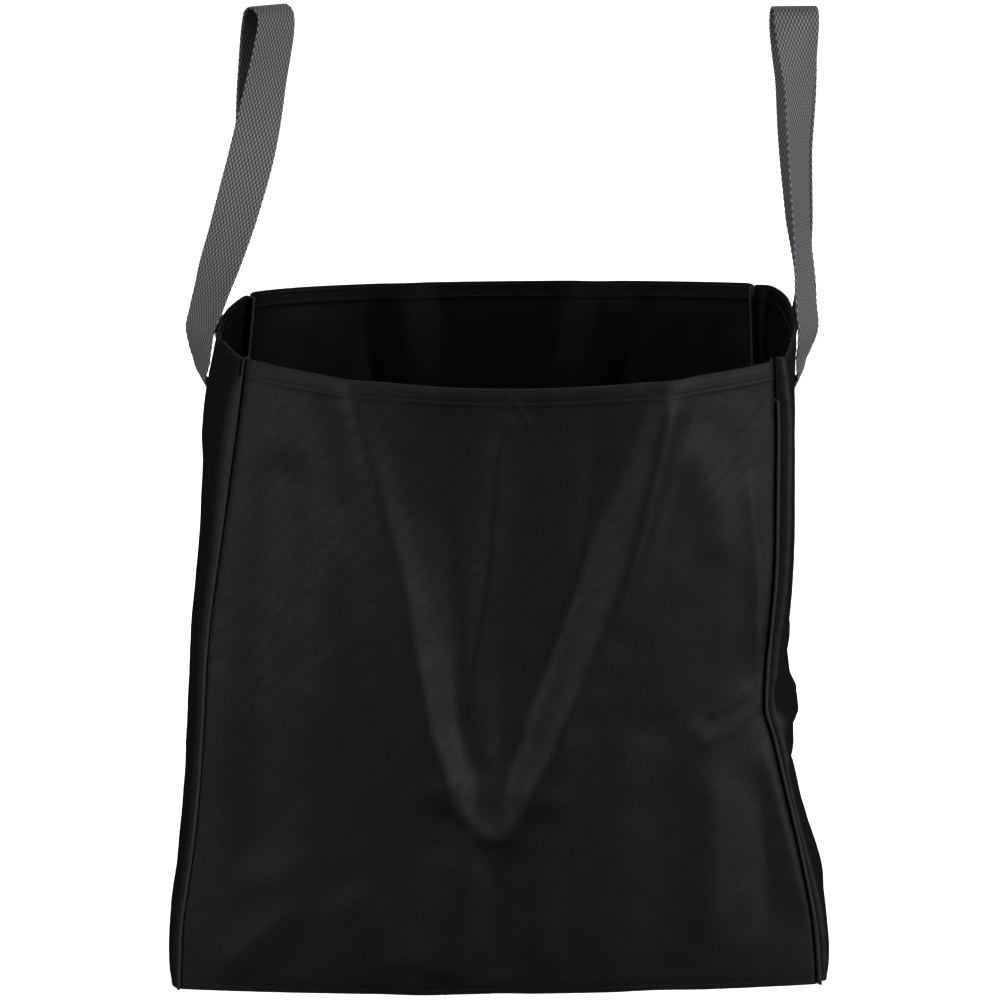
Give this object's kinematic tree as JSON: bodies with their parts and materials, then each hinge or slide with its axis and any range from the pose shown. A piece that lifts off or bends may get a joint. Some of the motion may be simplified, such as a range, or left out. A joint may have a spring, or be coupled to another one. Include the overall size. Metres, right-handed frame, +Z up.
{
  "type": "firewood carrier bag",
  "caption": "Open-topped black cloth bag for carrying split logs, with a flat base, bound corner seams and a long webbing loop on each side gusset.",
  "frame": {"origin": "centre of the underside of the base panel, on the ground", "axes": "+X to the right across the front, +Y from the front panel to the back panel, +Z up through the open top"},
  "size_m": [0.4339, 0.3392, 0.613],
  "materials": {
    "cloth": "black twill-woven coated polyester, matt with a faint sheen",
    "binding": "black woven binding tape, matt",
    "webbing": "dark grey ribbed polyester webbing, matt"
  },
  "bodies": {
    "root": {"front_panel": "cloth", "right_gusset": "cloth", "back_panel": "cloth", "left_gusset": "cloth", "base_panel": "cloth", "seam_binding_front_left": "binding", "seam_binding_front_right": "binding", "seam_binding_back_right": "binding", "seam_binding_back_left": "binding", "handle_left": "webbing", "handle_right": "webbing"}
  },
  "joints": []
}
